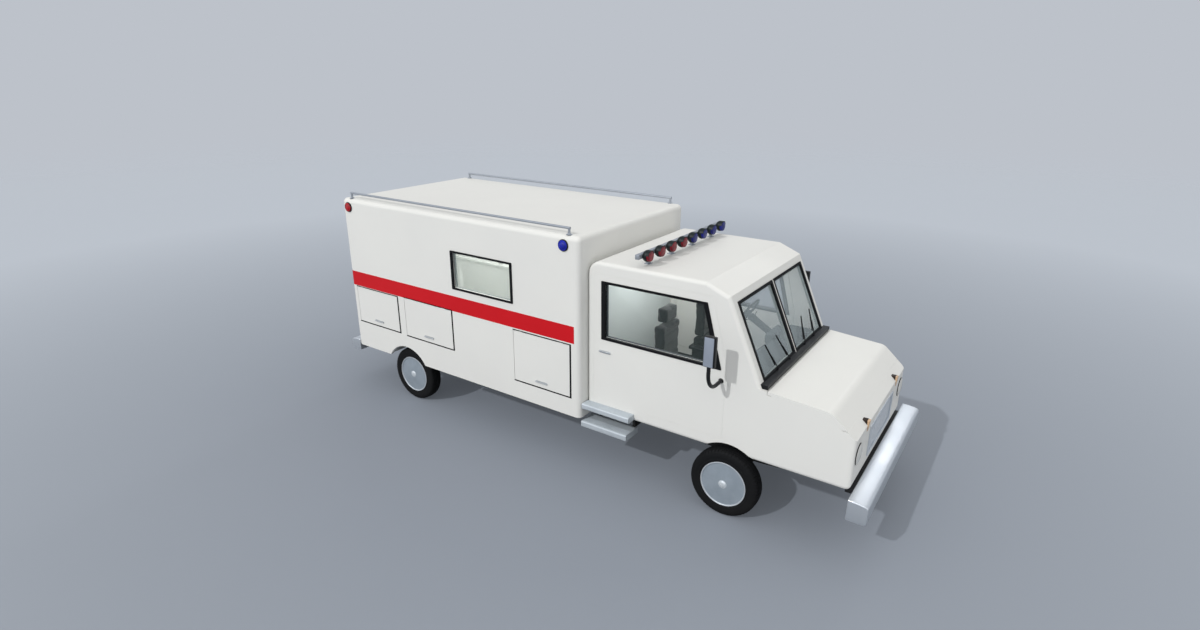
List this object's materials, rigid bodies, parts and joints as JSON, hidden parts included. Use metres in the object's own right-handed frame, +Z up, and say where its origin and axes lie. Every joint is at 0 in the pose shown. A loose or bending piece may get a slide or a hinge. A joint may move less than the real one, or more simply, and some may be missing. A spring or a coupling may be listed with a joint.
{
  "type": "box-bodied ambulance",
  "caption": "Box-bodied ambulance with a bonneted cab, lift-up side lockers, rear doors, warning lamps, roof rails and steered front wheels.",
  "frame": {"origin": "on the ground under the middle of the overall box, mirrors included", "axes": "+X forward, +Y to the vehicle's left, +Z up"},
  "size_m": [7.31, 2.7, 2.8179],
  "materials": {
    "body_paint": "gloss white enamel",
    "liner": "pale wall lining",
    "chassis_black": "satin black",
    "dark_steel": "bare dark steel",
    "bright_metal": "polished",
    "rail_grey": "satin grey",
    "wheel_paint": "satin grey-blue",
    "tyre": "matte",
    "window_glass": "pale grey-green tint",
    "black_plastic": "satin black",
    "lamp_red": "clear red lens",
    "lamp_front": "clear lens",
    "seat_cloth": "charcoal cloth",
    "grille_grey": "grey mesh"
  },
  "bodies": {
    "chassis": {"frame": "chassis_black", "body_mounts": "chassis_black", "engine": "dark_steel", "propshaft": "dark_steel", "front_axle": "chassis_black", "rear_axle": "chassis_black", "fuel_tank": "chassis_black", "exhaust": "dark_steel", "bumpers": "bright_metal", "side_steps": "bright_metal", "box_floor": "liner", "box_side_right": "body_paint", "box_side_left": "body_paint", "box_roof": "body_paint", "box_end_walls": "body_paint", "box_window_glass": "window_glass", "lockers": "rail_grey", "roof_rails": "rail_grey", "box_lamps": "lamp_red", "cab_floor": "chassis_black", "cab_side_right": "body_paint", "cab_side_left": "body_paint", "cab_roof": "body_paint", "nose_panel": "body_paint", "cowl_bar": "black_plastic", "windscreen_glass": "window_glass", "grille": "grille_grey", "front_lamps": "lamp_front", "light_bar": "black_plastic", "light_bar_lenses": "lamp_red", "cab_seats": "seat_cloth", "dashboard": "black_plastic"},
    "hood": {"hood": "body_paint"},
    "steering_wheel": {"steering_wheel": "black_plastic"},
    "knuckle_right": {"knuckle_right": "dark_steel"},
    "wheel_front_right": {"tyre_front_right": "tyre", "rim_front_right": "wheel_paint"},
    "wheel_rear_right": {"tyre_rear_right": "tyre", "rim_rear_right": "wheel_paint"},
    "cab_door_right": {"cab_door_right": "body_paint", "cab_glass_right": "window_glass", "mirror_right": "black_plastic"},
    "rear_door_right": {"rear_door_right": "body_paint", "rear_glass_right": "window_glass"},
    "knuckle_left": {"knuckle_left": "dark_steel"},
    "wheel_front_left": {"tyre_front_left": "tyre", "rim_front_left": "wheel_paint"},
    "wheel_rear_left": {"tyre_rear_left": "tyre", "rim_rear_left": "wheel_paint"},
    "cab_door_left": {"cab_door_left": "body_paint", "cab_glass_left": "window_glass", "mirror_left": "black_plastic"},
    "rear_door_left": {"rear_door_left": "body_paint", "rear_glass_left": "window_glass"},
    "rear_locker_door_right": {"rear_locker_door_right": "body_paint"},
    "rear_locker_door_left": {"rear_locker_door_left": "body_paint"},
    "middle_locker_door_right": {"middle_locker_door_right": "body_paint"},
    "middle_locker_door_left": {"middle_locker_door_left": "body_paint"},
    "front_locker_door_right": {"front_locker_door_right": "body_paint"},
    "front_locker_door_left": {"front_locker_door_left": "body_paint"}
  },
  "joints": [
    {"name": "steer_right", "type": "hinge", "parent": "chassis", "child": "knuckle_right", "pos_m": [2.229, -0.84, 0.375], "axis": [0, 0, 1], "range_deg": [-32, 32]},
    {"name": "wheel_front_right_roll", "type": "hinge", "parent": "knuckle_right", "child": "wheel_front_right", "pos_m": [2.229, -0.987, 0.375], "axis": [0, 1, 0], "continuous": true},
    {"name": "wheel_rear_right_roll", "type": "hinge", "parent": "chassis", "child": "wheel_rear_right", "pos_m": [-2.426, -0.987, 0.375], "axis": [0, 1, 0], "continuous": true},
    {"name": "cab_door_right_hinge", "type": "hinge", "parent": "chassis", "child": "cab_door_right", "pos_m": [2.149, -1, 1.25], "axis": [0, 0, 1], "range_deg": [0, 70]},
    {"name": "rear_door_right_hinge", "type": "hinge", "parent": "chassis", "child": "rear_door_right", "pos_m": [-3.46, -0.854, 1.6], "axis": [0, 0, 1], "range_deg": [0, 110]},
    {"name": "steer_left", "type": "hinge", "parent": "chassis", "child": "knuckle_left", "pos_m": [2.229, 0.84, 0.375], "axis": [0, 0, 1], "range_deg": [-32, 32]},
    {"name": "wheel_front_left_roll", "type": "hinge", "parent": "knuckle_left", "child": "wheel_front_left", "pos_m": [2.229, 0.987, 0.375], "axis": [0, 1, 0], "continuous": true},
    {"name": "wheel_rear_left_roll", "type": "hinge", "parent": "chassis", "child": "wheel_rear_left", "pos_m": [-2.426, 0.987, 0.375], "axis": [0, 1, 0], "continuous": true},
    {"name": "cab_door_left_hinge", "type": "hinge", "parent": "chassis", "child": "cab_door_left", "pos_m": [2.149, 1, 1.25], "axis": [0, 0, -1], "range_deg": [0, 70]},
    {"name": "rear_door_left_hinge", "type": "hinge", "parent": "chassis", "child": "rear_door_left", "pos_m": [-3.46, 0.854, 1.6], "axis": [0, 0, -1], "range_deg": [0, 110]},
    {"name": "rear_locker_door_right_hinge", "type": "hinge", "parent": "chassis", "child": "rear_locker_door_right", "pos_m": [-2.94, -1.15, 1.504], "axis": [-1, 0, 0], "range_deg": [0, 95]},
    {"name": "rear_locker_door_left_hinge", "type": "hinge", "parent": "chassis", "child": "rear_locker_door_left", "pos_m": [-2.94, 1.15, 1.504], "axis": [1, 0, 0], "range_deg": [0, 95]},
    {"name": "middle_locker_door_right_hinge", "type": "hinge", "parent": "chassis", "child": "middle_locker_door_right", "pos_m": [-1.9465, -1.15, 1.52], "axis": [-1, 0, 0], "range_deg": [0, 95]},
    {"name": "middle_locker_door_left_hinge", "type": "hinge", "parent": "chassis", "child": "middle_locker_door_left", "pos_m": [-1.9465, 1.15, 1.52], "axis": [1, 0, 0], "range_deg": [0, 95]},
    {"name": "front_locker_door_right_hinge", "type": "hinge", "parent": "chassis", "child": "front_locker_door_right", "pos_m": [-0.07, -1.15, 1.494], "axis": [-1, 0, 0], "range_deg": [0, 95]},
    {"name": "front_locker_door_left_hinge", "type": "hinge", "parent": "chassis", "child": "front_locker_door_left", "pos_m": [-0.07, 1.15, 1.494], "axis": [1, 0, 0], "range_deg": [0, 95]},
    {"name": "steering_wheel_turn", "type": "hinge", "parent": "chassis", "child": "steering_wheel", "pos_m": [1.73, 0.5, 1.678], "axis": [-0.8601, 0, 0.5101], "range_deg": [-448, 448]},
    {"name": "hood_hinge", "type": "hinge", "parent": "chassis", "child": "hood", "pos_m": [2.577, 0, 1.49855], "axis": [0, -1, 0], "range_deg": [0, 55]}
  ],
  "couplings": [
    {"joint": "steer_left", "follows": "steer_right", "ratio": 1},
    {"joint": "steering_wheel_turn", "follows": "steer_right", "ratio": 14}
  ]
}
